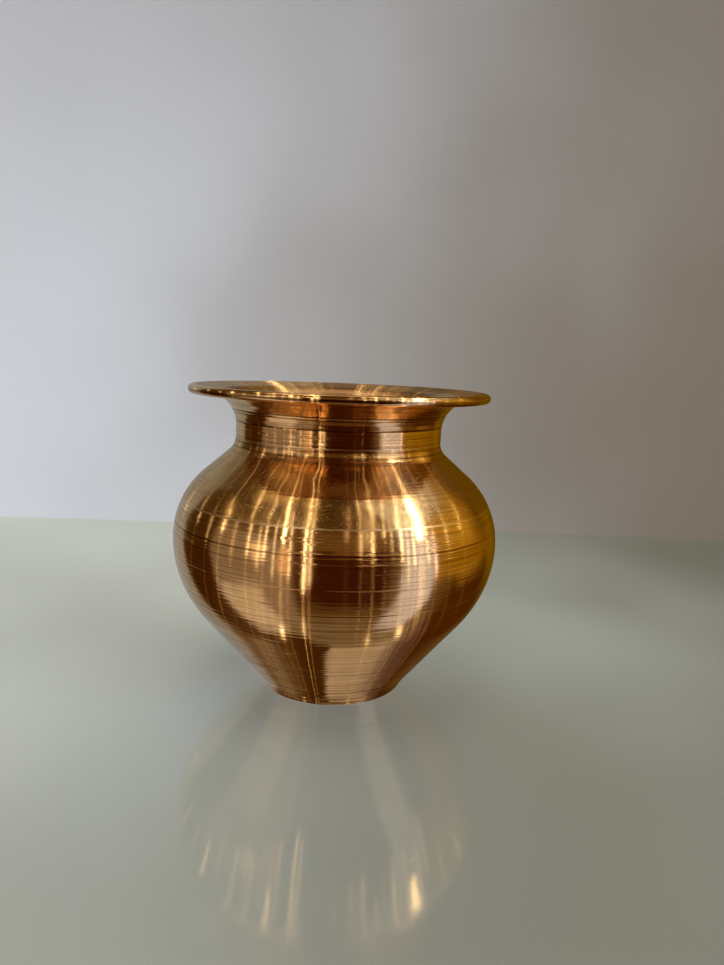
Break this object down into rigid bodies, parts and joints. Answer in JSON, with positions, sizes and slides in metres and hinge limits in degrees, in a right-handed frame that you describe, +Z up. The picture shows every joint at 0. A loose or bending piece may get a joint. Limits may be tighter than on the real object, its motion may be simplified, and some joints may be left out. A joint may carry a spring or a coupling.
{
  "type": "kalash pot",
  "caption": "Small round-bellied metal kalash pot with a flat foot, domed shoulder, short neck and flared mouth with a rolled lip.",
  "frame": {"origin": "centre of the foot, on the plane the pot stands on", "axes": "+Z up along the pot's turning axis; X and Y are alike"},
  "size_m": [0.1, 0.1, 0.093],
  "materials": {
    "turned_brass": "copper-rich brass, satin with fine turned rings",
    "buffed_brass": "copper-rich brass, hand-buffed with fine crossing scratches",
    "brass_wire": "drawn wire, plain",
    "braze_filler": "brazing brass, dressed flush"
  },
  "bodies": {
    "root": {"base_plate": "turned_brass", "lower_bowl": "turned_brass", "shoulder_shell": "buffed_brass", "neck_collar": "turned_brass", "rim_wire": "brass_wire", "base_braze": "braze_filler", "belly_braze": "braze_filler", "neck_braze": "braze_filler"}
  },
  "joints": []
}
